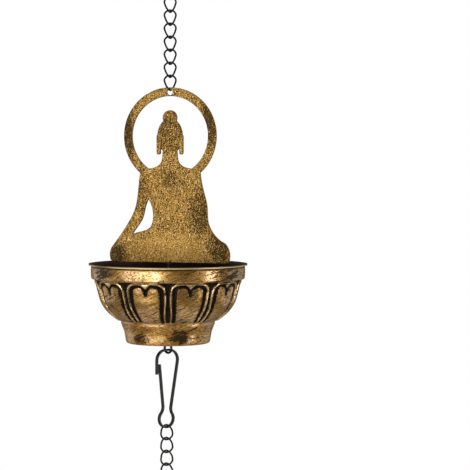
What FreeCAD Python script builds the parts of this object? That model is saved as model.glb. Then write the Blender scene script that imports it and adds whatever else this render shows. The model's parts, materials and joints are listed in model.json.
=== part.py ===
import FreeCAD, Part
import math
import os
from FreeCAD import Placement, Rotation, Vector

# One hanging length of a rain chain.
# A snap clip at the top carries a chain of twisted wire links. The chain carries a stamped sheet plate,
# a seated figure inside a halo ring, and a cranked eye bolt soldered behind the plate carries a pressed
# lotus cup. Under the cup a second clip holds the start of the next length of chain.
#
# X runs across the plate, Y runs through it towards the back and Z is up. The origin is the place
# where the top clip bears on what it hangs from, so every other piece lies below it.

# Driving sizes in millimetres and degrees: name, value, what it is
SIZES = (
    ("seat_gap", 0.05, "play left where one hanging piece bears on another"),
    ("link_wire", 1.23, "diameter of the chain wire"),
    ("link_pitch", 8.63, "height that each link adds to the chain"),
    ("link_span", 8.2, "outside width of a link at its broad end"),
    ("link_flat", 0.4, "straight length in the middle of each link end"),
    ("upper_links", 11, "links between the top clip and the plate"),
    ("lower_links", 5, "links below the lower clip"),
    ("clip_strip", 1.4, "thickness of the clip strip"),
    ("clip_depth", 2.4, "width of the clip strip"),
    ("clip_edge", 0.4, "rounding along the clip strip"),
    ("clip_tall", 53.2, "outside height of a clip"),
    ("clip_hook_side", 8.1, "from the clip's middle to its hook, at mid thickness"),
    ("clip_back_side", 10.0, "from the clip's middle to its back leg, carried up to the top"),
    ("clip_back_taper", 9.9, "lean of the back leg towards the foot loop, degrees"),
    ("clip_hook_end", 16.0, "how far the hook comes down from the top"),
    ("clip_gate_top", 9.4, "how far below the top the sprung gate ends"),
    ("clip_gate_side", 6.0, "from the clip's middle to the gate's end"),
    ("clip_gate_taper", 5.8, "lean of the gate towards the foot loop, degrees"),
    ("clip_shoulder", 6.8, "bend radius at the top corners of a clip"),
    ("clip_foot", 5.7, "radius of the foot loop, at mid thickness"),
    ("clip_foot_side", 0.5, "how far the foot loop stands towards the gate"),
    ("clip_waist", 6.5, "bend radius at the waist of a clip"),
    ("eye_turn", 70.0, "how far the eye under the cup is turned about the vertical, degrees"),
    ("lower_clip_turn", -17.0, "how far the lower clip is turned in that eye, degrees"),
    ("lower_clip_shift", 1.0, "how far the lower clip hangs to its hook's side in that eye"),
    ("plate_gauge", 2.0, "thickness of the plate"),
    ("cup_side", 1.5, "how far the cup's axis stands to the left of the hanging hole"),
    ("halo_outer", 32.3, "outside radius of the halo ring"),
    ("halo_inner", 26.5, "inside radius of the halo ring"),
    ("halo_rise", 84.4, "height of the halo's centre above the plate's foot"),
    ("hole_radius", 2.0, "radius of the hanging hole"),
    ("hole_cover", 1.2, "metal left above the hanging hole"),
    ("knee_round", 3.0, "rounding of the plate's lower corners"),
    ("left_knee", 42.3, "from the plate's middle to its left end, at the foot"),
    ("right_knee", 41.5, "from the plate's middle to its right end, at the foot"),
    ("neck_half", 5.3, "half width of the figure's neck"),
    ("neck_lap", 2.0, "how far the shoulders run on below the halo's opening"),
    ("neck_rise", 76.0, "height of the neck's hidden top, inside the head"),
    ("head_rise", 84.3, "height of the head's centre above the plate's foot"),
    ("head_half", 8.8, "half width of the head"),
    ("head_tall", 11.8, "half height of the head"),
    ("topknot_radius", 5.0, "radius of the hair knot on the head"),
    ("topknot_rise", 96.5, "height of the hair knot's centre above the plate's foot"),
    ("ear_half", 1.4, "half width of a long ear"),
    ("ear_out", 7.9, "from the head's middle to an ear's middle"),
    ("ear_top", 84.0, "height of an ear's upper end, at its round centre"),
    ("ear_foot", 73.4, "height of an ear lobe's end, at its round centre"),
    ("cup_wall", 1.0, "thickness of the pressed cup"),
    ("cup_tall", 53.0, "height of the cup"),
    ("rim_radius", 53.0, "outside radius of the cup's lip"),
    ("lip_root", 0.5, "rounding under the lip"),
    ("rim_gap", 0.6, "how far the plate's foot stands above the cup's lip"),
    ("band_radius", 51.3, "outside radius of the plain band"),
    ("band_swell", 0.35, "how far the band bulges at mid height"),
    ("band_curve", 18.0, "radius of that bulge"),
    ("band_tall", 10.0, "height of the plain band with its lip"),
    ("band_round", 1.4, "rounding of the band's lower edge"),
    ("band_step", 0.5, "height of the step from the band in to the petals"),
    ("step_round", 0.4, "rounding inside that step"),
    ("petal_top_radius", 48.3, "radius where the petals begin, under the band"),
    ("petal_belly_radius", 42.1, "radius where the petal side would bend without its curve"),
    ("petal_belly_drop", 31.9, "depth of that bend below the lip"),
    ("petal_curve", 27.0, "radius of the curve of the petal side"),
    ("foot_top_radius", 31.6, "radius where the petals end on the foot"),
    ("foot_top_drop", 37.6, "depth of that place below the lip"),
    ("ledge_round", 1.2, "rounding of the ledge over the foot"),
    ("ledge_tall", 2.4, "height of that ledge"),
    ("ledge_in", 0.3, "how much the ledge narrows downwards"),
    ("ledge_root", 1.5, "rounding under the ledge"),
    ("foot_waist_radius", 29.2, "radius at the middle of the foot"),
    ("foot_waist_rise", 7.6, "height of that place above the floor"),
    ("foot_curve", 15.0, "radius of the foot's hollow side"),
    ("foot_radius", 27.9, "radius at the bottom of the foot"),
    ("foot_round", 1.8, "rounding of the foot's lower edge"),
    ("petal_count", 10, "petals round the cup"),
    ("petal_side_curve", 30.0, "radius of a petal's side"),
    ("petal_side_drop", 24.0, "depth of a petal's mid height below the lip"),
    ("petal_half", 13.9, "half width of a petal at its shoulder"),
    ("petal_side_half", 13.1, "half width of a petal at mid height"),
    ("petal_foot_half", 9.4, "half width of a petal at its foot"),
    ("petal_top_drop", 10.6, "depth of the petal's top below the lip"),
    ("petal_foot_drop", 36.9, "depth of the petal's foot below the lip"),
    ("petal_top_round", 4.5, "rounding of a petal's shoulders"),
    ("petal_foot_round", 2.6, "rounding of a petal's lower corners"),
    ("ridge_proud", 0.9, "how far the ridge round a petal stands out of the cup"),
    ("groove_half", 12.0, "half width of the groove's outside at its shoulder"),
    ("groove_side_half", 11.3, "half width of the groove's outside at mid height"),
    ("groove_foot_half", 7.4, "half width of the groove's outside at its foot"),
    ("groove_foot_drop", 38.2, "depth of the groove's open foot below the lip"),
    ("groove_top_drop", 11.8, "depth of the groove's lobes below the lip"),
    ("groove_notch_drop", 15.0, "depth of the ridge's point between those lobes"),
    ("pillow_half", 9.6, "half width of the raised heart at its shoulder"),
    ("pillow_side_half", 8.9, "half width of the raised heart at mid height"),
    ("pillow_foot_half", 6.0, "half width of the raised heart at its foot"),
    ("pillow_foot_drop", 36.5, "depth of the heart's foot below the lip"),
    ("pillow_top_drop", 13.0, "depth of the heart's lobes below the lip"),
    ("pillow_notch_drop", 19.2, "depth of the notch between them"),
    ("lobe_round", 2.6, "rounding of a lobe"),
    ("lobe_fall", 1.2, "how far a lobe falls away at its shoulder"),
    ("notch_round", 0.4, "rounding at the point of a notch"),
    ("pillow_radius", 31.0, "ball radius that crowns the middle of a petal"),
    ("pillow_proud", 1.5, "how far that crown stands out at its middle"),
    ("pillow_drop", 25.5, "depth of the crown's middle below the lip"),
    ("drain_radius", 3.0, "radius of a drain hole"),
    ("drain_circle", 15.0, "radius of the circle of drain holes"),
    ("drain_count", 6, "drain holes in the cup's floor"),
    ("bolt_radius", 1.5, "radius of the eye bolt"),
    ("bolt_play", 0.2, "play round the bolt in the cup, washer and nut"),
    ("bolt_bend", 4.0, "bend radius of the bolt's crank"),
    ("bolt_crank", 12.0, "height of the crank in the bolt"),
    ("crank_clear", 3.0, "how far below the plate's foot the crank ends"),
    ("bolt_lap", 14.0, "length of bolt soldered behind the plate"),
    ("filing_start", 1.0, "how far below the plate's foot the filed flat begins"),
    ("bolt_flat", 0.5, "depth of the flat that lies on the plate"),
    ("collar_radius", 3.5, "radius of the collar under the cup"),
    ("collar_tall", 0.8, "thickness of the collar"),
    ("eye_wire", 1.6, "diameter of the eye's wire"),
    ("eye_hole", 4.1, "inside diameter of the eye"),
    ("eye_sink", 0.4, "how far the eye runs into its collar"),
    ("washer_radius", 3.5, "radius of the washer"),
    ("washer_tall", 0.5, "thickness of the washer"),
    ("nut_flats", 5.5, "width of the nut across its flats"),
    ("nut_tall", 2.4, "thickness of the nut"),
)

doc = FreeCAD.newDocument("rain_chain")
sheet = doc.addObject("Spreadsheet::Sheet", "sizes")
for row, (alias, value, meaning) in enumerate(SIZES, start=1):
    sheet.set(f"A{row}", alias)
    sheet.set(f"B{row}", str(value))
    sheet.set(f"C{row}", meaning)
    sheet.setAlias(f"B{row}", alias)
doc.recompute()


def size(alias):
    """The value of a driving size."""
    return float(sheet.get(alias))


def bind(item, **places):
    """Binds properties to formulas over the sheet. A double underscore stands for a dot."""
    for place, formula in places.items():
        item.setExpression(place.replace("__", "."), formula)


def add(kind, name, **places):
    """A new object with bound properties."""
    item = doc.addObject(kind, name)
    bind(item, **places)
    return item


def named(item, label, **places):
    """Names a finished sub-part, and binds its place."""
    item.Label = label
    bind(item, **places)
    return item


# Outlines

UPRIGHT = Rotation(Vector(1, 0, 0), 90)


def tangent_arc(before, corner, after, radius):
    """Start, middle and end of the arc that rounds a corner between two runs."""
    back, ahead = (before - corner).normalize(), (after - corner).normalize()
    turn = math.pi - back.getAngle(ahead)
    reach = radius * math.tan(turn / 2)
    middle = corner + (back + ahead).normalize() * (radius / math.cos(turn / 2) - radius)
    return corner + back * reach, middle, corner + ahead * reach


def rounded_run(corners, closed=False):
    """Lines joined by tangent arcs. corners: (point, radius), where radius 0 keeps a corner sharp."""
    points = [point for point, _ in corners]
    turns = []
    for index, (point, radius) in enumerate(corners):
        inside = closed or 0 < index < len(corners) - 1
        if inside and radius > 0:
            after = points[(index + 1) % len(points)]
            turns.append(tangent_arc(points[index - 1], point, after, radius))
        else:
            turns.append((point, None, point))
    pieces = []
    for index, (start, middle, end) in enumerate(turns):
        if middle is not None:
            pieces.append(Part.Arc(start, middle, end))
        if closed or index < len(turns) - 1:
            following = turns[(index + 1) % len(turns)][0]
            if (following - end).Length > 1e-6:
                pieces.append(Part.LineSegment(end, following))
    return pieces


def flat(x, z):
    """A point of a sketch: across and up."""
    return Vector(x, z, 0)


def drawn(sketch, pieces):
    """Puts outline pieces into a sketch."""
    for piece in pieces:
        sketch.addGeometry(piece, False)
    return sketch


def upright_sketch(name, pieces, depth=0.0):
    """A free sketch in an upright plane across X, at a depth along Y."""
    sketch = doc.addObject("Sketcher::SketchObject", name)
    sketch.Placement = Placement(Vector(0, depth, 0), UPRIGHT)
    return drawn(sketch, pieces)


def body_sketch(body, name, pieces, role="XZ_Plane"):
    """A sketch on one of a body's own planes."""
    sketch = body.newObject("Sketcher::SketchObject", name)
    plane = next(item for item in body.Origin.OriginFeatures if item.Role == role)
    sketch.AttachmentSupport = [(plane, "")]
    sketch.MapMode = "FlatFace"
    return drawn(sketch, pieces)


# Heights, from the hanging place down

link_inside = size("link_pitch") + size("seat_gap")
link_half = (link_inside + size("link_wire")) / 2
link_bend = (size("link_span") - size("link_wire") - size("link_flat")) / 2
clip_inside = size("clip_tall") - 2 * size("clip_strip")


def strip_seat(inner_radius, half_width):
    """How far a round crown's top stands above a flat strip with rounded edges that it bears on."""
    room = inner_radius - size("clip_edge") - size("seat_gap")
    return inner_radius - size("clip_edge") - math.sqrt(room**2 - half_width**2)


def crown_rise(offset):
    """How much a link's end has risen at this distance from its middle."""
    beyond = max(offset - size("link_flat") / 2, 0.0)
    return link_bend - math.sqrt(link_bend**2 - beyond**2)


crown_seat = strip_seat(
    link_bend - size("link_wire") / 2, size("clip_depth") / 2 - size("clip_edge")
)
first_link = -clip_inside + crown_seat - link_inside / 2
last_link = first_link - (size("upper_links") - 1) * size("link_pitch")
wire_top = last_link - link_inside / 2
hole_top = wire_top + size("seat_gap") + crown_rise(size("plate_gauge") / 2)
hole_height = size("halo_rise") + size("halo_outer") - size("hole_cover") - size("hole_radius")
plate_foot = hole_top - size("hole_radius") - hole_height
lip_top = plate_foot - size("rim_gap")
cup_floor = lip_top - size("cup_tall")
eye_middle = (
    cup_floor - size("collar_tall") + size("eye_sink") - size("eye_hole") / 2 - size("eye_wire")
)
turn = math.radians(size("lower_clip_turn"))
slant = (size("clip_depth") / 2 - size("clip_edge")) / math.cos(turn)
slant += size("eye_wire") / 2 * math.tan(abs(turn))
eye_room = size("eye_hole") / 2 - size("clip_edge") - size("seat_gap")
lower_clip_top = eye_middle - math.sqrt(eye_room**2 - slant**2) - size("clip_edge")
first_lower_link = lower_clip_top - clip_inside + crown_seat - link_inside / 2
lower_angle = size("eye_turn") + size("lower_clip_turn")
lower_way = "(sizes.eye_turn + sizes.lower_clip_turn) * 1deg"
lower_x = f"-sizes.cup_side - sizes.lower_clip_shift * cos({lower_way})"
lower_y = f"-sizes.lower_clip_shift * sin({lower_way})"


# Chain links
# The wire follows four arcs in space and four short straight runs. The upper end lies across X and
# the lower end across Y, because each link is twisted a quarter turn.


def crown_corner():
    """How far the corners of a link's path stand from its axis, found by going round until it settles."""
    corner = link_half
    for _ in range(60):
        leg = math.sqrt(2 * corner**2 + 4 * link_half**2)
        corner = size("link_flat") / 2 + link_bend * math.tan(math.acos(-corner / leg) / 2)
    return corner


def link_solid():
    """One twisted link about the origin."""
    corner = crown_corner()
    corners = (
        Vector(corner, 0, link_half),
        Vector(0, corner, -link_half),
        Vector(0, -corner, -link_half),
        Vector(-corner, 0, link_half),
    )
    path = Part.Wire(
        [piece.toShape() for piece in rounded_run([(p, link_bend) for p in corners], closed=True)]
    )
    start = path.OrderedEdges[0]
    ring = Part.makeCircle(
        size("link_wire") / 2,
        start.valueAt(start.FirstParameter),
        start.tangentAt(start.FirstParameter),
    )
    skin = Part.makeShell(path.makePipe(Part.Wire(ring)).Faces)
    skin.sewShape()
    return Part.Solid(skin)


def make_link(label, shape, height, x="0", y="0", angle=0.0):
    """A link in the chain, its height bound to the pitch."""
    link = doc.addObject("Part::Feature", label)
    link.Shape = shape
    link.Placement = Placement(Vector(0, 0, 0), Rotation(Vector(0, 0, 1), angle))
    return named(link, label, Placement__Base__x=x, Placement__Base__y=y, Placement__Base__z=height)


twisted = link_solid()
links = []
for index in range(int(size("upper_links"))):
    height = f"{first_link} - {index} * sizes.link_pitch"
    links.append(make_link(f"link_{index + 1:02d}", twisted, height))
for index in range(int(size("lower_links"))):
    height = f"{first_lower_link} - {index} * sizes.link_pitch"
    label = f"lower_link_{index + 1}"
    links.append(make_link(label, twisted, height, lower_x, lower_y, 90 + lower_angle))


# Clips
# One strip, bent on edge: a short hook, a shoulder, a leaning back leg, a foot loop and a sprung gate
# that ends inside the hook. The path is drawn at mid thickness, with the bearing place at height 0.


def waist_arc(leg_top, lean, side, foot):
    """The bend between a leaning leg and the foot loop: its start, middle and end."""
    along = flat(-side * math.sin(lean), -math.cos(lean))
    outward = flat(side * math.cos(lean), -math.sin(lean))
    from_leg = (foot - leg_top).dot(outward) - size("clip_waist")
    reach = size("clip_foot") + size("clip_waist")
    run = (foot - leg_top).dot(along) - math.sqrt(reach**2 - from_leg**2)
    centre = leg_top + along * run + outward * size("clip_waist")
    start = centre - outward * size("clip_waist")
    end = centre + (foot - centre).normalize() * size("clip_waist")
    middle = centre + ((start + end) * 0.5 - centre).normalize() * size("clip_waist")
    return start, middle, end


def clip_path():
    """The clip's middle line, from the hook's end to the gate's end."""
    crown = size("clip_strip") / 2
    foot = flat(-size("clip_foot_side"), crown - size("clip_tall") + size("clip_strip")
                + size("clip_foot"))
    hook = flat(-size("clip_hook_side"), crown)
    back = flat(size("clip_back_side"), crown)
    gate = flat(-size("clip_gate_side"), crown - size("clip_gate_top"))
    back_lean = math.radians(size("clip_back_taper"))
    gate_lean = math.radians(size("clip_gate_taper"))
    back_bend = waist_arc(back, back_lean, 1, foot)
    gate_bend = waist_arc(gate, gate_lean, -1, foot)
    upper = rounded_run([
        (hook + flat(0, -size("clip_hook_end")), 0),
        (hook, size("clip_shoulder")),
        (back, size("clip_shoulder")),
        (back_bend[0], 0),
    ])
    bottom = foot + flat(0, -size("clip_foot"))
    return upper + [
        Part.Arc(*back_bend),
        Part.Arc(back_bend[2], bottom, gate_bend[2]),
        Part.Arc(gate_bend[2], gate_bend[1], gate_bend[0]),
        Part.LineSegment(gate_bend[0], gate),
    ]


def strip_section(name):
    """The strip's section at the hook's end, drawn about the middle line."""
    half_strip, half_depth = size("clip_strip") / 2, size("clip_depth") / 2
    corners = [
        (flat(x, y), size("clip_edge"))
        for x, y in (
            (-half_strip, -half_depth), (half_strip, -half_depth),
            (half_strip, half_depth), (-half_strip, half_depth),
        )
    ]
    sketch = drawn(doc.addObject("Sketcher::SketchObject", name), rounded_run(corners, closed=True))
    end = Vector(-size("clip_hook_side"), 0, size("clip_strip") / 2 - size("clip_hook_end"))
    sketch.Placement = Placement(end, Rotation())
    return sketch


def make_clip(label, height, angle, x="0", y="0"):
    """A clip swept along its path, hung at a height and turned about the vertical."""
    path = upright_sketch(f"{label}_path", clip_path())
    section = strip_section(f"{label}_section")
    clip = doc.addObject("Part::Sweep", f"{label}_sweep")
    clip.Sections = [section]
    clip.Spine = (path, [])
    clip.Solid = True
    clip.Frenet = False
    clip.Placement = Placement(Vector(0, 0, 0), Rotation(Vector(0, 0, 1), angle))
    return named(clip, label, Placement__Base__x=x, Placement__Base__y=y,
                 Placement__Base__z=str(height))


make_clip("top_clip", 0.0, 90.0)
make_clip("lower_clip", lower_clip_top, lower_angle, lower_x, lower_y)


# Figure plate
# A stamped sheet. Heights are counted from its foot, and its outlines are points picked by hand, as
# distances to the right of the hanging hole and above the foot.


def spline(points):
    """A smooth line through hand-picked points."""
    curve = Part.BSplineCurve()
    curve.interpolate([flat(x, z) for x, z in points])
    return curve


LEFT_SIDE = ((-20.9, 59.8), (-22.3, 48.4), (-24.6, 35.6), (-29.2, 26.6), (-35.0, 18.0), (-39.7, 11.7))
LEFT_KNEE_MIDDLE = (-41.6, 9.0)
RIGHT_SIDE = ((21.2, 59.6), (23.3, 48.4), (26.0, 37.0), (26.6, 27.7), (31.2, 18.6), (38.2, 13.3))
RIGHT_KNEE_MIDDLE = (40.9, 9.4)


def knee(top, middle, end):
    """The rounded knee and the small round corner under it, as two arcs."""
    corner = size("knee_round")
    inward = -math.copysign(corner, end)
    bulge = 1 - math.sqrt(0.5)
    start = flat(end, corner)
    return [
        Part.Arc(flat(*top), flat(*middle), start),
        Part.Arc(start, flat(end + inward * bulge, corner * bulge), flat(end + inward, 0)),
    ]


def on_halo(x):
    """The place low on the halo's outside at this distance across."""
    return x, size("halo_rise") - math.sqrt(size("halo_outer") ** 2 - x**2)


def robe_outline():
    """The plate's outside: halo ring, shoulders, sleeves, knees and straight foot."""
    halo_top = flat(0, size("halo_rise") + size("halo_outer"))
    left_top, right_top = on_halo(LEFT_SIDE[0][0]), on_halo(RIGHT_SIDE[0][0])
    left_knee = knee(LEFT_SIDE[-1], LEFT_KNEE_MIDDLE, -size("left_knee"))
    right_knee = knee(RIGHT_SIDE[-1], RIGHT_KNEE_MIDDLE, size("right_knee"))
    foot = Part.LineSegment(left_knee[1].EndPoint, right_knee[1].EndPoint)
    return [
        Part.Arc(flat(*left_top), halo_top, flat(*right_top)),
        spline((left_top, *LEFT_SIDE[1:])), *left_knee,
        foot, *right_knee, spline((right_top, *RIGHT_SIDE[1:])),
    ]


def sleeve_opening():
    """The crescent between the left arm and the body."""
    tip, top = (-26.2, 19.0), (-15.0, 42.4)
    inner = (top, (-12.6, 37.0), (-11.8, 30.0), (-14.0, 23.4), (-20.6, 20.5), tip)
    outer = (tip, (-23.0, 23.4), (-19.3, 29.1), (-17.2, 36.6), top)
    return [spline(inner), spline(outer)]


def neck_outline():
    """Neck and shoulders, filling the halo's opening from below."""
    low = size("halo_rise") - size("halo_inner") - size("neck_lap")
    right = (
        (4.3, size("neck_rise")), (size("neck_half"), 71.0), (5.8, 67.8), (8.4, 64.6),
        (13.4, 62.9), (19.5, 62.4),
    )
    left = tuple((-x, z) for x, z in right)
    return [
        spline(right),
        Part.LineSegment(flat(*right[-1]), flat(right[-1][0], low)),
        Part.LineSegment(flat(right[-1][0], low), flat(left[-1][0], low)),
        Part.LineSegment(flat(left[-1][0], low), flat(*left[-1])),
        spline(left),
        Part.LineSegment(flat(*left[0]), flat(*right[0])),
    ]


def head_oval():
    """The head, as an upright ellipse."""
    middle = flat(0, size("head_rise"))
    crown, side = middle + flat(0, size("head_tall")), middle + flat(size("head_half"), 0)
    return [Part.Ellipse(crown, side, middle)]


def ear(side):
    """A long ear with a round upper end and a round lobe."""
    x, half = side * size("ear_out"), size("ear_half")
    top, foot = size("ear_top"), size("ear_foot")
    return [
        Part.Arc(flat(x - half, top), flat(x, top + half), flat(x + half, top)),
        Part.LineSegment(flat(x + half, top), flat(x + half, foot)),
        Part.Arc(flat(x + half, foot), flat(x, foot - half), flat(x - half, foot)),
        Part.LineSegment(flat(x - half, foot), flat(x - half, top)),
    ]


def full_circle(x, z, radius):
    """A circle in a sketch."""
    return [Part.Circle(flat(x, z), Vector(0, 0, 1), radius)]


plate = doc.addObject("PartDesign::Body", "plate_body")


def plate_pad(name, pieces):
    """Adds sheet of the plate's thickness."""
    sketch = body_sketch(plate, f"{name}_sketch", pieces)
    pad = plate.newObject("PartDesign::Pad", name)
    pad.Profile = sketch
    pad.Midplane = True
    bind(pad, Length="sizes.plate_gauge")
    doc.recompute()
    return pad


def plate_cut(name, pieces):
    """Cuts through the whole sheet."""
    sketch = body_sketch(plate, f"{name}_sketch", pieces)
    pocket = plate.newObject("PartDesign::Pocket", name)
    pocket.Profile = sketch
    pocket.Midplane = True
    bind(pocket, Length="2 * sizes.plate_gauge")
    doc.recompute()
    return pocket


plate_pad("robe_and_ring", robe_outline())
plate_cut("halo_opening", full_circle(0, size("halo_rise"), size("halo_inner")))
plate_pad("neck_and_shoulders", neck_outline())
plate_pad("head", head_oval())
plate_pad("topknot", full_circle(0, size("topknot_rise"), size("topknot_radius")))
plate_pad("right_ear", ear(1))
plate_pad("left_ear", ear(-1))
plate_cut("sleeve", sleeve_opening())
plate_cut("hanging_hole", full_circle(0, hole_height, size("hole_radius")))
named(plate, "figure_plate", Placement__Base__z=str(plate_foot))


# Lotus cup
# A pressed sheet: one line turned about the axis and given the wall's thickness, with raised petals.


PETAL_TOP = flat(size("petal_top_radius"), -size("band_tall") - size("band_step"))
PETAL_BELLY = flat(size("petal_belly_radius"), -size("petal_belly_drop"))
PETAL_FOOT = flat(size("foot_top_radius"), -size("foot_top_drop"))


def cup_line():
    """The outside of the pressed sheet from its lip to the bolt's hole, as corners with radii."""
    lip, band_foot, floor = -size("cup_wall"), -size("band_tall"), -size("cup_tall")
    swell = size("band_radius") + size("band_swell")
    ledge = size("foot_top_radius") - size("ledge_in")
    ledge_foot = -size("foot_top_drop") - size("ledge_tall")
    return [
        (flat(size("rim_radius"), lip), 0),
        (flat(size("band_radius"), lip), size("lip_root")),
        (flat(swell, band_foot / 2), size("band_curve")),
        (flat(size("band_radius"), band_foot), size("band_round")),
        (PETAL_TOP, size("step_round")),
        (PETAL_BELLY, size("petal_curve")),
        (PETAL_FOOT, size("ledge_round")),
        (flat(ledge, ledge_foot), size("ledge_root")),
        (flat(size("foot_waist_radius"), floor + size("foot_waist_rise")), size("foot_curve")),
        (flat(size("foot_radius"), floor), size("foot_round")),
        (flat(size("bolt_radius") + size("bolt_play"), floor), 0),
    ]


def petal_side():
    """The part of that line that carries the petals, ended at its corners."""
    return [(PETAL_TOP, 0), (PETAL_BELLY, size("petal_curve")), (PETAL_FOOT, 0)]


def moved(piece, distance):
    """A piece of an outline, moved to the right of its direction."""
    start, end = piece.StartPoint, piece.EndPoint
    if isinstance(piece, Part.LineSegment):
        run = (end - start).normalize()
        shift = Vector(run.y, -run.x, 0) * distance
        return Part.LineSegment(start + shift, end + shift)
    middle = piece.value((piece.FirstParameter + piece.LastParameter) / 2)
    centre = piece.toShape().Curve.Center
    turns_left = (middle - start).cross(end - middle).z > 0
    growth = distance if turns_left else -distance

    def outward(point):
        ray = point - centre
        return centre + ray * (1 + growth / ray.Length)

    return Part.Arc(outward(start), outward(middle), outward(end))


def turned_band(name, corners, inner, outer):
    """A line thickened by these amounts into and out of the cup, turned about the cup's axis."""
    pieces = rounded_run(corners)
    near = [moved(piece, inner) for piece in pieces]
    far = [moved(piece, -outer) for piece in pieces]
    caps = [
        Part.LineSegment(near[0].StartPoint, far[0].StartPoint),
        Part.LineSegment(near[-1].EndPoint, far[-1].EndPoint),
    ]
    turned = doc.addObject("Part::Revolution", f"{name}_turned")
    turned.Source = upright_sketch(f"{name}_band", [*near, *far, *caps])
    turned.Axis = Vector(0, 0, 1)
    turned.Angle = 360
    turned.Solid = True
    return turned


def mirrored(corners):
    """The same corners on the other side, the other way round."""
    return [(flat(-point.x, point.y), radius) for point, radius in reversed(corners)]


def petal_outline():
    """The outside of one petal seen from the front."""
    right = [
        (flat(size("petal_half"), -size("petal_top_drop")), size("petal_top_round")),
        (flat(size("petal_side_half"), -size("petal_side_drop")), size("petal_side_curve")),
        (flat(size("petal_foot_half"), -size("petal_foot_drop")), size("petal_foot_round")),
    ]
    return rounded_run([*right, *mirrored(right)], closed=True)


def heart_outline(name):
    """A heart inside the petal, either the groove's outside or the raised pillow: two lobes and a notch."""
    half, top = size(f"{name}_half"), -size(f"{name}_top_drop")
    notch = (flat(0, -size(f"{name}_notch_drop")), size("notch_round"))
    right = [
        (flat(half / 4, top), size("lobe_round") / 2),
        (flat(half, top - size("lobe_fall")), size("lobe_round")),
        (flat(size(f"{name}_side_half"), -size("petal_side_drop")), size("petal_side_curve")),
        (flat(size(f"{name}_foot_half"), -size(f"{name}_foot_drop")), size("petal_foot_round") / 2),
    ]
    return rounded_run([notch, *right, *mirrored(right)], closed=True)


def petal_bar(name, outline):
    """A bar with an outline as its section, from inside the cup out past its wall."""
    bar = doc.addObject("Part::Extrusion", f"{name}_bar")
    bar.Base = upright_sketch(f"{name}_outline", outline, depth=-size("foot_radius") / 2)
    bar.DirMode = "Custom"
    bar.Dir = Vector(0, -1, 0)
    bar.LengthFwd = size("rim_radius") - size("foot_radius") / 2
    bar.Solid = True
    return bar


def joined(kind, name, pieces):
    """A common or fused solid of several objects."""
    result = doc.addObject(kind, name)
    result.Shapes = pieces
    return result


def minus(name, base, tool):
    """One object cut by another."""
    result = doc.addObject("Part::Cut", name)
    result.Base = base
    result.Tool = tool
    return result


def crown_ball():
    """The ball whose skin crowns the middle of the front petal."""
    side = Part.Wire([piece.toShape() for piece in rounded_run(petal_side())])
    level = Part.makeLine(flat(0, -size("pillow_drop")), flat(size("rim_radius"), -size("pillow_drop")))
    point = side.distToShape(level)[1][0][0]
    chord = (PETAL_FOOT - PETAL_TOP).normalize()
    outward = flat(-chord.y, chord.x)
    centre = point + outward * (size("pillow_proud") - size("pillow_radius"))
    ball = add("Part::Sphere", "crown_ball", Radius="sizes.pillow_radius")
    ball.Placement = Placement(Vector(0, -centre.x, centre.y), Rotation())
    return ball


def make_cup():
    """The whole cup, its lip at height 0."""
    half_wall = size("cup_wall") / 2
    wall = turned_band("cup", cup_line(), size("cup_wall"), 0)
    ridge_skin = turned_band("ridge", petal_side(), half_wall, size("ridge_proud"))
    crown_skin = turned_band("crown", petal_side(), half_wall, 2 * size("pillow_proud"))
    petal = petal_bar("petal", petal_outline())
    groove = petal_bar("groove", heart_outline("groove"))
    heart = petal_bar("heart", heart_outline("pillow"))
    raised = joined("Part::MultiCommon", "petal_raised", [petal, ridge_skin])
    rim = minus("petal_rim", raised, groove)
    crown = joined("Part::MultiCommon", "petal_crown", [heart, crown_ball(), crown_skin])
    doc.recompute()
    relief = Part.makeCompound([rim.Shape, crown.Shape])
    step = 360 / size("petal_count")
    ring = doc.addObject("Part::Feature", "petal_ring")
    ring.Shape = Part.makeCompound([
        relief.rotated(Vector(0, 0, 0), Vector(0, 0, 1), step * index)
        for index in range(int(size("petal_count")))
    ])
    drains = []
    for index in range(int(size("drain_count"))):
        angle = math.radians(360 / size("drain_count") * index)
        reach = size("drain_circle")
        drain = add("Part::Cylinder", f"drain_{index + 1}", Radius="sizes.drain_radius",
                    Height="3 * sizes.cup_wall")
        drain.Placement = Placement(
            Vector(reach * math.cos(angle), reach * math.sin(angle),
                   -size("cup_tall") - size("cup_wall")),
            Rotation(),
        )
        drains.append(drain)
    pressed = joined("Part::MultiFuse", "pressed_cup", [wall, ring])
    cup = minus("drained_cup", pressed, joined("Part::MultiFuse", "drains", drains))
    return named(cup, "lotus_cup", Placement__Base__x="-sizes.cup_side",
                 Placement__Base__z=str(lip_top))


make_cup()


# Eye bolt, washer and nut
# The bolt stands on the cup's axis. Above the cup it cranks back, so that its filed upper end lies
# behind the plate. Its collar and eye are under the cup.


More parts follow.
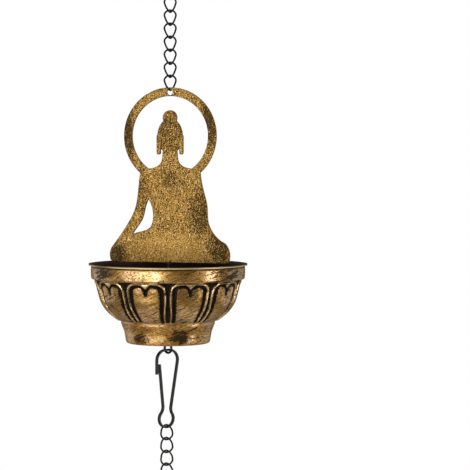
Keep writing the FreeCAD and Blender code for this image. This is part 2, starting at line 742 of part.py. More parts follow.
def make_bolt():
    """The cranked bolt with its collar and eye."""
    behind = size("plate_gauge") / 2 + size("bolt_radius") - size("bolt_flat")
    crank_top = plate_foot - size("crank_clear")
    foot = cup_floor - size("collar_tall") / 2
    path = doc.addObject("Sketcher::SketchObject", "bolt_path")
    path.Placement = Placement(Vector(0, 0, 0), Rotation(Vector(1, 1, 1), 120))
    drawn(path, rounded_run([
        (flat(0, foot), 0),
        (flat(0, crank_top - size("bolt_crank")), size("bolt_bend")),
        (flat(behind, crank_top), size("bolt_bend")),
        (flat(behind, plate_foot + size("bolt_lap")), 0),
    ]))
    ring = add("Part::Circle", "bolt_section", Radius="sizes.bolt_radius")
    ring.Placement = Placement(Vector(0, 0, foot), Rotation())
    rod = doc.addObject("Part::Sweep", "bolt_rod")
    rod.Sections = [ring]
    rod.Spine = (path, [])
    rod.Solid = True
    collar = add("Part::Cylinder", "bolt_collar", Radius="sizes.collar_radius",
                 Height="sizes.collar_tall")
    collar.Placement = Placement(Vector(0, 0, cup_floor - size("collar_tall")), Rotation())
    eye = add("Part::Torus", "bolt_eye", Radius1="(sizes.eye_hole + sizes.eye_wire) / 2",
              Radius2="sizes.eye_wire / 2")
    across = Rotation(Vector(0, 1, 0), 90)
    turned = Rotation(Vector(0, 0, 1), size("eye_turn"))
    eye.Placement = Placement(Vector(0, 0, eye_middle), turned * across)
    filed = add("Part::Box", "bolt_filing", Length="4 * sizes.bolt_radius",
                Width="4 * sizes.bolt_radius", Height="sizes.bolt_lap + 2 * sizes.filing_start")
    filed.Placement = Placement(
        Vector(-2 * size("bolt_radius"), size("plate_gauge") / 2 - 4 * size("bolt_radius"),
               plate_foot - size("filing_start")),
        Rotation(),
    )
    whole = joined("Part::MultiFuse", "bolt_whole", [rod, collar, eye])
    return named(minus("bolt_filed", whole, filed), "eye_bolt", Placement__Base__x="-sizes.cup_side")


def make_ring(label, blank, height, tall):
    """A washer or nut: a blank with the bolt's hole, lying at a height."""
    blank.Placement = Placement(Vector(0, 0, height), Rotation())
    hole = add("Part::Cylinder", f"{label}_hole", Radius="sizes.bolt_radius + sizes.bolt_play",
               Height=f"2 * {tall}")
    hole.Placement = Placement(Vector(0, 0, height - size(tall.split(".")[1]) / 2), Rotation())
    return named(minus(f"{label}_cut", blank, hole), label, Placement__Base__x="-sizes.cup_side")


make_bolt()
washer_foot = cup_floor + size("cup_wall")
washer = add("Part::Cylinder", "washer_blank", Radius="sizes.washer_radius",
             Height="sizes.washer_tall")
make_ring("washer", washer, washer_foot, "sizes.washer_tall")
nut = add("Part::Prism", "nut_blank", Circumradius="sizes.nut_flats / sqrt(3)",
          Height="sizes.nut_tall")
nut.Polygon = 6
make_ring("hex_nut", nut, washer_foot + size("washer_tall"), "sizes.nut_tall")


# Finish

doc.recompute()
PARTS = (
    ["top_clip"] + [link.Label for link in links]
    + ["figure_plate", "eye_bolt", "washer", "hex_nut", "lotus_cup", "lower_clip"]
)
for item in doc.Objects:
    if {"Invalid", "Error"} & set(item.State):
        raise RuntimeError(f"{item.Label} was not built: {item.State}")
os.makedirs("parts", exist_ok=True)
for label in PARTS:
    item = doc.getObjectsByLabel(label)[0]
    shape = item.Shape
    if shape.isNull() or not shape.isValid() or len(shape.Solids) != 1:
        raise RuntimeError(f"{label} is not one sound solid")
    shape.exportStep(f"parts/{label}.step")
    print(f"{label}: {shape.Volume:.1f} cubic mm, {len(shape.Faces)} faces")
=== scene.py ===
"""The looks of a rain chain: one hanging length with a seated figure plate and a lotus petal cup.

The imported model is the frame. The plate gets rounded edges, the cup gets a finely pressed relief, and
every piece gets its finish. Lengths are in metres, made from millimetres by MM.
"""
import json
import math

import bmesh
import bpy
import numpy as np
from mathutils import Vector
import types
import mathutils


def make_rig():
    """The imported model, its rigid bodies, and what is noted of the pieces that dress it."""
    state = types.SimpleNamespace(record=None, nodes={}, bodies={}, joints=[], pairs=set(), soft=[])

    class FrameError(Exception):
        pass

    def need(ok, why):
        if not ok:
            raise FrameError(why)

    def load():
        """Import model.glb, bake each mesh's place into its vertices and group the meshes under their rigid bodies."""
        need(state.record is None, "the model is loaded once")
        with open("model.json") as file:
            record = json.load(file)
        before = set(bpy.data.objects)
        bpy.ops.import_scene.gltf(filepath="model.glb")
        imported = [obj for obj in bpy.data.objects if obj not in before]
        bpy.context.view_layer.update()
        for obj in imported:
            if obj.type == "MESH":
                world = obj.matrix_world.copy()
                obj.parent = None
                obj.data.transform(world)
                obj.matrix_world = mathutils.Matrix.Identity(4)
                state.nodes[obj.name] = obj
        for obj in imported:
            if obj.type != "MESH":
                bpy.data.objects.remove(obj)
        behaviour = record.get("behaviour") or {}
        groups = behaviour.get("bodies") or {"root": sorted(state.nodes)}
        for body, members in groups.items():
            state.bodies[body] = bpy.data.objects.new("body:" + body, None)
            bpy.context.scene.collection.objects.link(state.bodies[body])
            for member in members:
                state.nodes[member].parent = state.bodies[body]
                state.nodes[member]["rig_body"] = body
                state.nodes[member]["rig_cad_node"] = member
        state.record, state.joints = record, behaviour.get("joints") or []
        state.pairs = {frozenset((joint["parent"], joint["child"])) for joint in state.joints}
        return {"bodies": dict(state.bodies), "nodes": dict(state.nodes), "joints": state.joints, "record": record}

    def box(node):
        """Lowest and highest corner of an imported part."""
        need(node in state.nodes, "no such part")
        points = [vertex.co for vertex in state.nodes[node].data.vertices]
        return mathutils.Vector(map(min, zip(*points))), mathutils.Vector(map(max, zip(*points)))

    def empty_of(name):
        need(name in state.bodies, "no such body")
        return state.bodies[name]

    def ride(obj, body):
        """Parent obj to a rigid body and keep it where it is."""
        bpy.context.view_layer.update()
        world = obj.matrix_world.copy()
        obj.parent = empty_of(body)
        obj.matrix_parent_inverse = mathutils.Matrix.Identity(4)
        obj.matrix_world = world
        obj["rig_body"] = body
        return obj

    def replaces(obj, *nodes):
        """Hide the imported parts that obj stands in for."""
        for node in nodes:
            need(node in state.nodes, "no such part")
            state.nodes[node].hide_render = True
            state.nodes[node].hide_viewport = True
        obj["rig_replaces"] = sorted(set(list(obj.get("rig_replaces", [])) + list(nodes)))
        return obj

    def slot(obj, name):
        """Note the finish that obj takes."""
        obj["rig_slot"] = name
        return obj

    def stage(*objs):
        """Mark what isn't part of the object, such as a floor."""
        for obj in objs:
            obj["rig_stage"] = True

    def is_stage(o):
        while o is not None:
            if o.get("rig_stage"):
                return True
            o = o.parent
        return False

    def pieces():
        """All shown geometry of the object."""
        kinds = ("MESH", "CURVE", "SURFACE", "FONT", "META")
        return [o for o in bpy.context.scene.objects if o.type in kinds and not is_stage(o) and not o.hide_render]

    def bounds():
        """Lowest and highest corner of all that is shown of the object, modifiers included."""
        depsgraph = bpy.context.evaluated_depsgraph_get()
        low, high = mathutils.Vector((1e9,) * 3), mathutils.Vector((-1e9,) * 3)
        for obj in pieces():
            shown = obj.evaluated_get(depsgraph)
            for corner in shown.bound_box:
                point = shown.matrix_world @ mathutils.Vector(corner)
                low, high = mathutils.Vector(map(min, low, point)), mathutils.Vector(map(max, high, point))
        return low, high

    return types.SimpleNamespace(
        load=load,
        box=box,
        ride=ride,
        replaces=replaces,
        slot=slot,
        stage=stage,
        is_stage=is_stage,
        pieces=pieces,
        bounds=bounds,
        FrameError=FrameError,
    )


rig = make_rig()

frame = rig.load()
CAD_LOW, CAD_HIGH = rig.bounds()

MM = 0.001

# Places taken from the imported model
CUP_LOW, CUP_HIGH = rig.box("lotus_cup")
CUP_AXIS_X = CUP_HIGH[0] - 53.0 * MM
LIP_TOP = CUP_HIGH[2]
PLATE_LOW, PLATE_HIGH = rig.box("figure_plate")
PLATE_FOOT = PLATE_LOW[2]

# Camera, read from the photograph
CAMERA_TURN = 18.0          # degrees that the camera stands to the right of the plate's front
CAMERA_DISTANCE = 1290 * MM
CAMERA_LENS = 148.2
EYE_ABOVE_LIP = 71.0 * MM
AIM_ABOVE_LIP = 19.0 * MM
AXIS_LEFT_OF_CENTRE = 0.138  # share of the picture's width


# Colours

def linear(text):
    """The linear colour of an sRGB hex colour, with full alpha."""
    channels = [int(text[i:i + 2], 16) / 255 for i in (1, 3, 5)]
    return tuple(c / 12.92 if c <= 0.04045 else ((c + 0.055) / 1.055) ** 2.4 for c in channels) + (1.0,)


# Node building

class Finish:
    """A material built node by node."""

    def __init__(self, name):
        self.material = bpy.data.materials.new(name)
        self.material.use_nodes = True
        self.tree = self.material.node_tree
        self.tree.nodes.clear()
        self.place = self.add("ShaderNodeTexCoord").outputs["Object"]

    def add(self, kind, settings=None, **inputs):
        """Adds a node, sets it up, and feeds its inputs with values or other nodes' outputs."""
        node = self.tree.nodes.new(kind)
        for name, value in (settings or {}).items():
            setattr(node, name, value)
        for name, value in inputs.items():
            key = int(name[1:]) if name[0] == "_" and name[1:].isdigit() else name.replace("_", " ")
            socket = node.inputs[key]
            if isinstance(value, bpy.types.NodeSocket):
                self.tree.links.new(value, socket)
            else:
                socket.default_value = value
        return node

    def math(self, operation, first, second=0.0, clamp=False):
        """A sum on one or two values."""
        node = self.add("ShaderNodeMath", {"operation": operation, "use_clamp": clamp}, _0=first, _1=second)
        return node.outputs[0]

    def ramp(self, value, low, high, to_low=0.0, to_high=1.0):
        """A value carried smoothly from one range to another."""
        node = self.add(
            "ShaderNodeMapRange", {"interpolation_type": "SMOOTHSTEP"},
            Value=value, From_Min=low, From_Max=high, To_Min=to_low, To_Max=to_high,
        )
        return node.outputs[0]

    def noise(self, size_mm, detail=2.0, stretch=(1, 1, 1), turn=(0, 0, 0), rough=0.5):
        """A noise whose grains have this size, stretched by factors along turned axes."""
        spread = self.add("ShaderNodeMapping", {"vector_type": "TEXTURE"}, Vector=self.place,
                          Rotation=turn, Scale=stretch)
        node = self.add("ShaderNodeTexNoise", Vector=spread.outputs[0], Scale=1 / (size_mm * MM),
                        Detail=detail, Roughness=rough)
        return node.outputs["Fac"]

    def spot(self, centre, size):
        """One at a centre, falling to nothing at this distance along each axis."""
        away = self.add("ShaderNodeVectorMath", {"operation": "SUBTRACT"}, _0=self.place, _1=centre)
        scaled = self.add("ShaderNodeVectorMath", {"operation": "DIVIDE"}, _0=away.outputs[0], _1=size)
        length = self.add("ShaderNodeVectorMath", {"operation": "LENGTH"}, _0=scaled.outputs[0])
        return self.ramp(length.outputs["Value"], 0.25, 1.0, 1.0, 0.0)

    def largest(self, values):
        """The largest of several values."""
        total = values[0]
        for value in values[1:]:
            total = self.math("MAXIMUM", total, value)
        return total

    def mix(self, share, first, second):
        """A colour between two colours."""
        node = self.add("ShaderNodeMix", {"data_type": "RGBA"}, _0=share, _6=first, _7=second)
        return node.outputs[2]

    def bump(self, height, depth_mm, strength=1.0):
        """A surface normal from a height."""
        node = self.add("ShaderNodeBump", Height=height, Distance=depth_mm * MM, Strength=strength)
        return node.outputs[0]

    def finish(self, **inputs):
        """Ends the material with one shader."""
        shader = self.add("ShaderNodeBsdfPrincipled", **inputs)
        self.add("ShaderNodeOutputMaterial", Surface=shader.outputs[0])
        return self.material


def plate_material():
    """Antique gold paint sponged over black sheet: fine dark speckle everywhere, and darker patches. The rounded edges
    get a painted dark line of shade, the cut sides a painted pale highlight, and the lap painted light."""
    m = Finish("antique_gold_speckled_sheet")

    def at(x, z):
        return (x * MM, 0.0, PLATE_FOOT + z * MM)

    patches = m.largest([
        m.spot(at(-30, 86), (9 * MM, 9 * MM, 26 * MM)),
        m.spot(at(28, 96), (9 * MM, 9 * MM, 26 * MM)),
        m.math("MULTIPLY", m.spot(at(-20, 47), (8 * MM, 9 * MM, 22 * MM)), 0.35),
        m.math("MULTIPLY", m.spot(at(22, 33), (12 * MM, 9 * MM, 24 * MM)), 0.75),
        m.spot(at(35, 12), (12 * MM, 9 * MM, 16 * MM)),
        m.spot(at(-37, 6), (9 * MM, 9 * MM, 11 * MM)),
        m.math("MULTIPLY", m.spot(at(1, 56), (8 * MM, 9 * MM, 9 * MM)), 0.4),
        m.math("MULTIPLY", m.spot(at(0, 88), (15 * MM, 9 * MM, 20 * MM)), 0.5),
    ])
    grain = m.noise(0.62, detail=1.0, turn=(0.7, 0.5, 0.3), rough=0.6)
    streak = m.noise(0.75, detail=1.0, stretch=(1, 1, 6), turn=(0.1, 0.05, 0.8), rough=0.5)
    cloud = m.noise(12, detail=3.0, rough=0.6)
    level = m.math("ADD", m.math("MULTIPLY", grain, 0.75), m.math("MULTIPLY", streak, 0.25))
    level = m.math("ADD", level, m.math("MULTIPLY", m.math("SUBTRACT", cloud, 0.5), 0.1))
    level = m.math("ADD", level, m.math("MULTIPLY", patches, 0.12))
    # painted light: fewer dark specks over the lap, brightening the shade that falls on the plate's lower part
    rubbed = m.spot(at(0, 6), (40 * MM, 9 * MM, 20 * MM))
    level = m.math("SUBTRACT", level, m.math("MULTIPLY", rubbed, 0.06))
    dark = m.ramp(level, 0.425, 0.59)
    gold = m.mix(m.ramp(cloud, 0.35, 0.65), linear("#967030"), linear("#ac8542"))
    fleck = m.ramp(m.noise(0.75, detail=1.0, turn=(0.3, 0.9, 0.5)), 0.55, 0.7)
    gold = m.mix(fleck, gold, linear("#dcbb7c"))
    colour = m.mix(m.math("MULTIPLY", dark, 0.92), gold, linear("#160b03"))
    facing = m.add("ShaderNodeSeparateXYZ", Vector=m.add("ShaderNodeTexCoord").outputs["Normal"])
    flatness = m.math("ABSOLUTE", facing.outputs["Y"])
    # painted shade: a dark line where the face turns into the rounded edge
    colour = m.mix(m.ramp(flatness, 0.995, 0.95), colour, linear("#130a04"))
    # painted highlight: the cut sides are made pale, in place of the light they catch
    colour = m.mix(m.ramp(flatness, 0.6, 0.4), colour, linear("#b08d50"))
    rough = m.ramp(dark, 0.0, 1.0, 0.5, 0.65)
    return m.finish(
        Base_Color=colour, Metallic=0.4, Roughness=rough, Specular_IOR_Level=0.1, Normal=m.bump(grain, 0.1),
    )


def on_cup(azimuth, radius, drop):
    """A place on the cup: degrees round from the plate's front, and millimetres from axis and lip."""
    turn = math.radians(azimuth)
    return (
        CUP_AXIS_X + radius * math.sin(turn) * MM, -radius * math.cos(turn) * MM, LIP_TOP - drop * MM,
    )


def cup_material():
    """Antique gold laid over black by rubbing: black in the hollows, worn bright on what stands proud, with a painted
    pale highlight on the ridge's crest, and dark patches where the rubbing missed. Under the lip lies a dark band
    of painted shade and patina."""
    m = Finish("antique_gold_over_black_patina")
    relief = m.add("ShaderNodeAttribute", {"attribute_name": "relief"}).outputs["Fac"]
    inside = m.add("ShaderNodeAttribute", {"attribute_name": "inside"}).outputs["Fac"]
    streak = m.noise(0.8, detail=3.0, stretch=(14, 14, 1), turn=(0, math.radians(-20), 0), rough=0.6)
    cross = m.noise(0.7, detail=2.0, stretch=(3, 3, 1), turn=(0, math.radians(35), 0), rough=0.6)
    speck = m.noise(0.95, detail=3.0, rough=0.7)
    cloud = m.noise(13, detail=3.0, rough=0.6)
    patches = m.largest([
        m.spot(on_cup(34, 28, 47), (9 * MM, 9 * MM, 8 * MM)),
        m.spot(on_cup(-22, 28, 49), (9 * MM, 9 * MM, 5 * MM)),
        m.spot(on_cup(-38, 51, 4), (18 * MM, 18 * MM, 7 * MM)),
        m.math("MULTIPLY", m.spot(on_cup(70, 51, 5), (18 * MM, 18 * MM, 8 * MM)), 0.4),
        m.math("MULTIPLY", m.spot(on_cup(34, 51, 3), (12 * MM, 12 * MM, 4 * MM)), 0.35),
        m.spot(on_cup(160, 51, 5), (24 * MM, 20 * MM, 8 * MM)),
        m.spot(on_cup(240, 30, 46), (16 * MM, 14 * MM, 8 * MM)),
    ])
    edge = m.math("ADD", relief, m.math("MULTIPLY", m.math("SUBTRACT", speck, 0.5), 1.6))
    hollow = m.ramp(edge, 0.7, 0.36)
    brushed = m.math("ADD", m.math("MULTIPLY", streak, 0.5), m.math("MULTIPLY", speck, 0.25))
    level = m.math("ADD", brushed, m.math("MULTIPLY", cloud, 0.25))
    level = m.math("ADD", level, m.math("MULTIPLY", patches, 0.12))
    # fewer dark specks over the band's front, where the lamps' brightest reflection falls
    polished = m.spot(on_cup(0, 51, 5.5), (28 * MM, 18 * MM, 7 * MM))
    level = m.math("SUBTRACT", level, m.math("MULTIPLY", polished, 0.028))
    patina = m.ramp(level, 0.525, 0.58)
    fine = m.ramp(cross, 0.5, 0.62)
    worn = m.math("MAXIMUM", m.math("MULTIPLY", patina, 0.96), m.math("MULTIPLY", fine, 0.6))
    height = m.add("ShaderNodeSeparateXYZ", Vector=m.place).outputs["Z"]
    # painted shade and patina: a dark band under the lip's overhang, where shade falls and black gathers in the corner
    under_lip = m.math("MULTIPLY", m.ramp(height, LIP_TOP - 3.2 * MM, LIP_TOP - 1.8 * MM), 0.9)
    dark = m.largest([hollow, worn, inside, under_lip])
    gold = m.mix(m.ramp(streak, 0.42, 0.62), linear("#9c6b1f"), linear("#d6ac5e"))
    # partly wear, partly a painted highlight: the ridge's crest is made pale
    crest = m.math("MULTIPLY", m.ramp(relief, 1.05, 1.35), 0.65)
    gold = m.mix(crest, gold, linear("#f2dca8"))
    colour = m.mix(dark, gold, m.mix(inside, linear("#0e0703"), linear("#24160c")))
    lip = m.math("MULTIPLY", m.ramp(height, LIP_TOP - 1.3 * MM, LIP_TOP - 1.0 * MM), 0.75)
    lip = m.math("MULTIPLY", lip, m.ramp(patches, 0.0, 0.8, 1.0, 0.3))
    colour = m.mix(m.math("MULTIPLY", lip, m.math("SUBTRACT", 1.0, inside)), colour, linear("#ecd3a0"))
    metal = m.ramp(dark, 0.0, 1.0, 0.9, 0.55)
    dull = m.ramp(height, LIP_TOP - 36 * MM, LIP_TOP - 42 * MM, 0.0, 0.14)
    rough = m.math("ADD", m.ramp(dark, 0.0, 1.0, 0.32, 0.5), dull)
    wax = m.math("MULTIPLY", m.ramp(dark, 0.0, 0.6, 1.0, 0.0), m.ramp(dull, 0.0, 0.14, 1.0, 0.75))
    return m.finish(
        Base_Color=colour, Metallic=metal, Roughness=rough, Specular_IOR_Level=0.2,
        Coat_Weight=wax, Coat_Roughness=0.21, Coat_IOR=1.9, Normal=m.bump(brushed, 0.2),
    )


def black_material():
    """Black lacquered steel wire and strip."""
    m = Finish("black_lacquered_steel")
    tone = m.ramp(m.noise(3, detail=2.0), 0.4, 0.7)
    colour = m.mix(tone, linear("#070606"), linear("#131211"))
    return m.finish(Base_Color=colour, Metallic=0.2, Roughness=0.3, Specular_IOR_Level=0.25)


def fastener_material():
    """Darkened steel of the washer and the nut."""
    m = Finish("darkened_steel")
    tone = m.ramp(m.noise(2, detail=3.0), 0.4, 0.7)
    colour = m.mix(tone, linear("#2a2622"), linear("#4a443d"))
    return m.finish(Base_Color=colour, Metallic=0.9, Roughness=0.45)


def floor_material():
    """Pale card, clear from below, so that it doesn't hide the cup's underside."""
    m = Finish("pale_card")
    card = m.add("ShaderNodeBsdfPrincipled", Base_Color=linear("#f4f3f1"), Roughness=0.8)
    clear = m.add("ShaderNodeBsdfTransparent")
    below = m.add("ShaderNodeNewGeometry").outputs["Backfacing"]
    seen = m.add("ShaderNodeMixShader", _0=below, _1=card.outputs[0], _2=clear.outputs[0])
    m.add("ShaderNodeOutputMaterial", Surface=seen.outputs[0])
    return m.material


# Shapes

def rounded(corners, step, closed=False):
    """Points along a line whose corners are rounded. corners: (across, up, radius) in millimetres. Each
    corner's arc touches both runs, at radius times the tangent of half the turn from the corner."""
    points = [np.array(corner[:2], float) for corner in corners]
    line = []
    for index, (corner, point) in enumerate(zip(corners, points)):
        radius = corner[2]
        if radius <= 0 or (not closed and index in (0, len(corners) - 1)):
            line.append(point)
            continue
        back = points[index - 1] - point
        ahead = points[(index + 1) % len(points)] - point
        back, ahead = back / np.linalg.norm(back), ahead / np.linalg.norm(ahead)
        turn = math.pi - math.acos(np.clip(back @ ahead, -1, 1))
        start, end = point + back * radius * math.tan(turn / 2), point + ahead * radius * math.tan(turn / 2)
        bisector = (back + ahead) / np.linalg.norm(back + ahead)
        centre = point + bisector * radius / math.cos(turn / 2)
        first, last = start - centre, end - centre
        count = max(3, int(math.ceil(turn * radius / step)) + 1)
        for share in np.linspace(0, 1, count):
            line.append(centre + (first * math.sin((1 - share) * turn) + last * math.sin(share * turn))
                        / math.sin(turn))
    if closed:
        line.append(line[0])
    return np.array(line)


def cup_profile(step, plain_step):
    """The cup's outside line, from the lip down to the bolt's hole. Its arcs are cut in short steps, and
    each straight run is cut in equal parts: short ones where the petals are, and plain ones elsewhere."""
    line = rounded(CUP_LINE, step)
    runs = np.linalg.norm(np.diff(line, axis=0), axis=1)
    middle = (line[1:, 1] + line[:-1, 1]) / 2
    pressed = (middle < PETALS_FROM) & (middle > PETALS_TO)
    parts = np.maximum(np.ceil(runs / np.where(pressed, step, plain_step) - 0.01), 1).astype(int)
    at = np.concatenate([k + np.arange(count) / count for k, count in enumerate(parts)] + [[len(parts)]])
    return np.stack([np.interp(at, np.arange(len(line)), line[:, k]) for k in (0, 1)], axis=1)


def outward(line):
    """The outward direction at each point of the cup's line: square to the chord between its neighbours."""
    along = np.gradient(line, axis=0)
    along /= np.linalg.norm(along, axis=1)[:, None]
    return np.stack([-along[:, 1], along[:, 0]], axis=1)


def inside_distance(points, outline):
    """How far each point lies inside a closed outline: positive inside, negative outside. It is the
    shortest distance to the outline's runs, and the sign comes from counting crossings to the right."""
    start, end = outline[:-1], outline[1:]
    run = end - start
    to_point = points[:, None] - start
    share = np.clip((to_point * run).sum(-1) / np.maximum((run**2).sum(-1), 1e-12), 0, 1)
    distance = np.linalg.norm(to_point - share[..., None] * run, axis=-1).min(1)
    rising = (start[:, 1] > points[:, None, 1]) != (end[:, 1] > points[:, None, 1])
    slope = np.where(np.abs(run[:, 1]) < 1e-12, 1e-12, run[:, 1])
    across = start[:, 0] + (points[:, None, 1] - start[:, 1]) / slope * run[:, 0]
    inside = ((rising & (points[:, None, 0] < across)).sum(1) % 2) == 1
    return np.where(inside, distance, -distance)


def smooth(value, low, high):
    """Zero under low, one over high and a smooth step between."""
    t = np.clip((value - low) / (high - low), 0, 1)
    return t * t * (3 - 2 * t)


def mirrored(right):
    """Corners on the right with the same ones on the left, the other way round."""
    return right + [(-x, y, radius) for x, y, radius in reversed(right)]


# The cup's pressed sheet, from under the lip to the bolt's hole: radius, height under the lip, rounding
CUP_LINE = (
    (53.0, -1.0, 0), (51.3, -1.0, 0.5), (51.65, -5.0, 18), (51.3, -10.0, 1.4), (48.3, -10.5, 0.4),
    (42.1, -31.9, 27), (31.6, -37.6, 1.2), (31.3, -40.0, 1.5), (29.2, -45.4, 15), (27.9, -53.0, 1.8),
    (1.7, -53.0, 0),
)
CUP_WALL = 1.0
PETALS = 10
STEPS_PER_PETAL = 52
PETALS_FROM, PETALS_TO = -10.0, -37.4
PETAL = mirrored([(13.7, -10.3, 5.4), (12.85, -24.0, 30), (9.2, -37.6, 2.4)])
GROOVE = [(0, -15.2, 0.5)] + mirrored([
    (3.2, -11.7, 1.4), (12.0, -12.2, 4.4), (11.2, -24.0, 30), (7.6, -39.0, 1.2),
])
PILLOW = [(0, -19.4, 0.3)] + mirrored([
    (1.2, -14.4, 1.0), (4.0, -12.4, 2.4), (9.4, -13.2, 3.2), (9.4, -24.0, 30), (6.7, -38.4, 1.4),
])


def petal_relief(points):
    """How far the pressed sheet stands out at points of one petal seen from the front, in millimetres,
    and how worn it is, from 0 in the hollows to 1 on what stands proud, and more on the ridge's crest, which also
    carries a painted highlight.
    The ridge is half round across its width, the heart rises from its edge to a soft dome, and the
    groove and the gap between petals are sunk."""
    in_petal = inside_distance(points, rounded(PETAL, 0.4, closed=True))
    in_groove = inside_distance(points, rounded(GROOVE, 0.4, closed=True))
    in_pillow = inside_distance(points, rounded(PILLOW, 0.4, closed=True))
    across = (in_petal + in_groove) / np.maximum(in_petal - in_groove, 0.2)
    ridge = np.where((in_petal > 0) & (in_groove < 0), np.clip(1 - across**2, 0, 1) ** 0.7, 0)
    dome = smooth(in_pillow, -0.1, 1.0) * (0.9 + 0.5 * smooth(in_pillow, 0.3, 8.5))
    gap = smooth(-in_petal, 0.0, 0.5)
    groove = smooth(in_groove, 0.0, 0.6) * smooth(-in_pillow, -0.1, 0.5)
    height = 1.25 * ridge + dome - 0.35 * gap - 0.4 * groove
    top_fade = smooth(points[:, 1], -10.9, -10.3)
    height = height * (1 - top_fade)
    heart = smooth(in_pillow, -0.3, 1.5) * (0.63 + 0.37 * smooth(in_pillow, 0.8, 4.5))
    # worn goes above 1 on the ridge's crest, where the finish paints a pale highlight as well as wear
    worn = np.maximum(smooth(ridge, 0.25, 0.75) + 0.4 * smooth(ridge, 0.7, 1.0), heart)
    return height, np.maximum(worn, top_fade)


def cup_mesh():
    """The lotus cup as one closed mesh: the outside with its relief, the floor, the inside and the lip.
    A profile point at radius r and turn a lies at r sin a to the right and r cos a to the front."""
    outside = cup_profile(0.42, 4.0)
    normal = outward(outside)
    plain = cup_profile(1.8, 4.0)
    inside = (plain - outward(plain) * CUP_WALL)[::-1]
    columns = PETALS * STEPS_PER_PETAL
    turn = (np.arange(columns) + 0.5) * 2 * math.pi / columns - math.pi / PETALS
    petal_turn = turn[:STEPS_PER_PETAL]
    carries = (outside[:, 1] < PETALS_FROM) & (outside[:, 1] > PETALS_TO)
    height = np.zeros((len(outside), STEPS_PER_PETAL))
    worn = np.ones((len(outside), STEPS_PER_PETAL))
    rows = np.nonzero(carries)[0]
    flat = np.stack([
        outside[rows, 0][:, None] * np.sin(petal_turn)[None],
        np.repeat(outside[rows, 1][:, None], STEPS_PER_PETAL, axis=1),
    ], axis=-1).reshape(-1, 2)
    relief, wear = petal_relief(flat)
    foot_fade = (1 - smooth(-outside[rows, 1], 36.4, 37.4))[:, None]
    height[rows] = relief.reshape(len(rows), -1) * foot_fade
    worn[rows] = wear.reshape(len(rows), -1)
    height, worn = np.tile(height, (1, PETALS)), np.tile(worn, (1, PETALS))
    radius = np.concatenate([outside[:, :1] + normal[:, :1] * height, np.repeat(inside[:, :1], columns, 1)])
    level = np.concatenate([outside[:, 1:] + normal[:, 1:] * height, np.repeat(inside[:, 1:], columns, 1)])
    vertices = np.stack([
        CUP_AXIS_X + radius * np.sin(turn) * MM, -radius * np.cos(turn) * MM, LIP_TOP + level * MM,
    ], axis=-1).reshape(-1, 3)
    count = len(radius)
    row, column = np.meshgrid(np.arange(count), np.arange(columns), indexing="ij")
    next_row, next_column = (row + 1) % count, (column + 1) % columns
    faces = np.stack([
        row * columns + column, next_row * columns + column,
        next_row * columns + next_column, row * columns + next_column,
    ], axis=-1).reshape(-1, 4)
    mesh = bpy.data.meshes.new("lotus_cup_pressed")
    mesh.from_pydata(vertices, [], faces)
    is_inside = np.zeros((count, columns))
    is_inside[len(outside):] = 1.0
    wear_all = np.ones((count, columns))
    wear_all[:len(outside)] = worn
    for name, values in (("relief", wear_all), ("inside", is_inside)):
        mesh.attributes.new(name, "FLOAT", "POINT").data.foreach_set("value", values.ravel())
    return mesh


def new_object(name, mesh):
    """Puts a mesh into the scene."""
    piece = bpy.data.objects.new(name, mesh)
    bpy.context.scene.collection.objects.link(piece)
    return piece


def finish_mesh(piece, edge_angle):
    """Applies an object's modifiers to its mesh, and shades it smooth up to an angle."""
    view = bpy.context.evaluated_depsgraph_get()
    mesh = bpy.data.meshes.new_from_object(piece.evaluated_get(view))
    piece.modifiers.clear()
    piece.data = mesh
    mesh.shade_smooth()
    mesh.set_sharp_from_angle(angle=math.radians(edge_angle))
    return piece


def drain_tool():
    """Six upright rods where the drain holes are."""
    tool = bmesh.new()
    for index in range(6):
        angle = math.radians(60 * index)
        centre = Vector((
            CUP_AXIS_X + 15 * MM * math.cos(angle), 15 * MM * math.sin(angle), LIP_TOP - 52.5 * MM,
        ))
        made = bmesh.ops.create_cone(tool, cap_ends=True, segments=40, radius1=3 * MM, radius2=3 * MM,
                                     depth=4 * MM)
        bmesh.ops.translate(tool, verts=made["verts"], vec=centre)
    mesh = bpy.data.meshes.new("drain_rods")
    tool.to_mesh(mesh)
    tool.free()
    return new_object("drain_rods", mesh)


def make_cup():
    """The pressed cup in place of the plain one, with its drain holes."""
    cup = new_object("lotus_cup_pressed", cup_mesh())
    rods = drain_tool()
    cut = cup.modifiers.new("drains", "BOOLEAN")
    cut.operation, cut.object, cut.solver = "DIFFERENCE", rods, "EXACT"
    finish_mesh(cup, 40)
    bpy.data.objects.remove(rods)
    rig.ride(cup, "figure")
    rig.replaces(cup, "lotus_cup")
    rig.slot(cup, "aged_brass")
    return cup


def make_plate():
    """The stamped plate with rounded edges in place of the sharp one."""
    mesh = frame["nodes"]["figure_plate"].data.copy()
    work = bmesh.new()
    work.from_mesh(mesh)
    bmesh.ops.remove_doubles(work, verts=work.verts, dist=0.001 * MM)
    bmesh.ops.dissolve_limit(work, angle_limit=math.radians(1), verts=work.verts, edges=work.edges)
    work.to_mesh(mesh)
    work.free()
    plate = new_object("figure_plate_rounded", mesh)
    edge = plate.modifiers.new("edges", "BEVEL")
    edge.width, edge.segments, edge.angle_limit = 0.35 * MM, 3, math.radians(50)
    finish_mesh(plate, 35)
    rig.ride(plate, "figure")
    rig.replaces(plate, "figure_plate")
    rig.slot(plate, "aged_brass")
    return plate


def paint(piece, material):
    """Gives a piece one material."""
    piece.data.materials.clear()
    piece.data.materials.append(material)


# Studio

def toward(azimuth, distance, height):
    """A place at a distance from the hanging line, round from the plate's front."""
    angle = math.radians(azimuth)
    return Vector((math.sin(angle) * distance, -math.cos(angle) * distance, height))


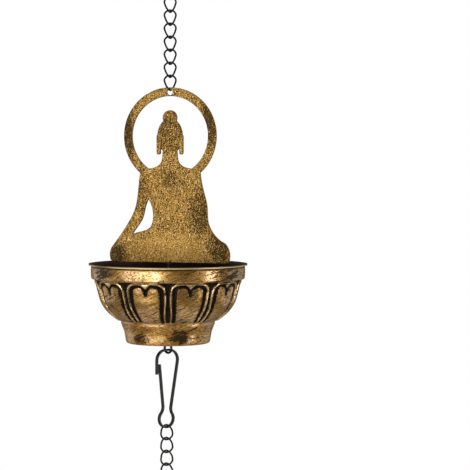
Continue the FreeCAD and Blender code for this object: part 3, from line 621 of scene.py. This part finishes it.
def soft_box(name, azimuth, distance, height, width, tall, power, colour="#ffffff"):
    """A rectangular lamp that faces the cup."""
    lamp = bpy.data.lights.new(name, "AREA")
    lamp.shape, lamp.size, lamp.size_y = "RECTANGLE", width, tall
    lamp.energy, lamp.color = power, linear(colour)[:3]
    holder = bpy.data.objects.new(name, lamp)
    holder.location = toward(azimuth, distance, height)
    aim = Vector((0, 0, LIP_TOP)) - holder.location
    holder.rotation_euler = aim.to_track_quat("-Z", "Y").to_euler()
    bpy.context.scene.collection.objects.link(holder)


def make_world():
    """White where the camera looks past the object, and a soft grey room everywhere else."""
    world = bpy.data.worlds.new("white_studio")
    bpy.context.scene.world = world
    world.use_nodes = True
    tree = world.node_tree
    tree.nodes.clear()
    path = tree.nodes.new("ShaderNodeLightPath")
    seen = tree.nodes.new("ShaderNodeBackground")
    seen.inputs["Color"].default_value = (1, 1, 1, 1)
    room = tree.nodes.new("ShaderNodeBackground")
    room.inputs["Color"].default_value = linear("#cbbfa6")
    room.inputs["Strength"].default_value = 0.33
    choose = tree.nodes.new("ShaderNodeMixShader")
    output = tree.nodes.new("ShaderNodeOutputWorld")
    tree.links.new(path.outputs["Is Camera Ray"], choose.inputs[0])
    tree.links.new(room.outputs[0], choose.inputs[1])
    tree.links.new(seen.outputs[0], choose.inputs[2])
    tree.links.new(choose.outputs[0], output.inputs[0])


def make_studio():
    """Lamps, a pale floor well below, and the camera."""
    make_world()
    soft_box("left_box", -26, 0.95, LIP_TOP + 0.05, 0.8, 1.1, 8)
    soft_box("front_strip", 1, 0.95, LIP_TOP + 0.05, 0.12, 1.1, 4)
    soft_box("right_box", 84, 0.95, LIP_TOP + 0.05, 0.26, 1.1, 5.5)
    soft_box("left_fill", -100, 0.95, LIP_TOP + 0.05, 0.8, 1.1, 2)
    soft_box("right_fill", 137, 0.95, LIP_TOP + 0.05, 0.8, 1.1, 1.5)
    soft_box("top_box", 18, 0.6, LIP_TOP + 1.0, 0.6, 0.6, 2)
    work = bmesh.new()
    bmesh.ops.create_circle(work, cap_ends=True, segments=64, radius=0.3)
    mesh = bpy.data.meshes.new("floor")
    work.to_mesh(mesh)
    work.free()
    mesh.transform(__import__("mathutils").Matrix.Translation((0, 0, CAD_LOW[2] - 0.2)))
    floor = new_object("floor", mesh)
    paint(floor, floor_material())
    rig.stage(floor)
    camera = bpy.data.cameras.new("camera")
    camera.lens, camera.sensor_width = CAMERA_LENS, 36
    camera.shift_x = AXIS_LEFT_OF_CENTRE
    camera.clip_start, camera.clip_end = 0.05, 20
    holder = bpy.data.objects.new("camera", camera)
    holder.location = toward(CAMERA_TURN, CAMERA_DISTANCE, LIP_TOP + EYE_ABOVE_LIP)
    aim = Vector((0, 0, LIP_TOP + AIM_ABOVE_LIP)) - holder.location
    holder.rotation_euler = aim.to_track_quat("-Z", "Y").to_euler()
    bpy.context.scene.collection.objects.link(holder)
    bpy.context.scene.camera = holder
    bpy.context.scene.view_settings.view_transform = "Standard"


cup = make_cup()
plate = make_plate()
paint(cup, cup_material())
paint(plate, plate_material())
black, dark_steel = black_material(), fastener_material()
for name, node in frame["nodes"].items():
    if name in ("washer", "hex_nut"):
        paint(node, dark_steel)
    elif name not in ("lotus_cup", "figure_plate"):
        paint(node, black)
make_studio()

low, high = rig.bounds()
with open("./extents.json", "w") as out:
    json.dump({"cad": [list(CAD_LOW), list(CAD_HIGH)], "final": [list(low), list(high)]}, out)
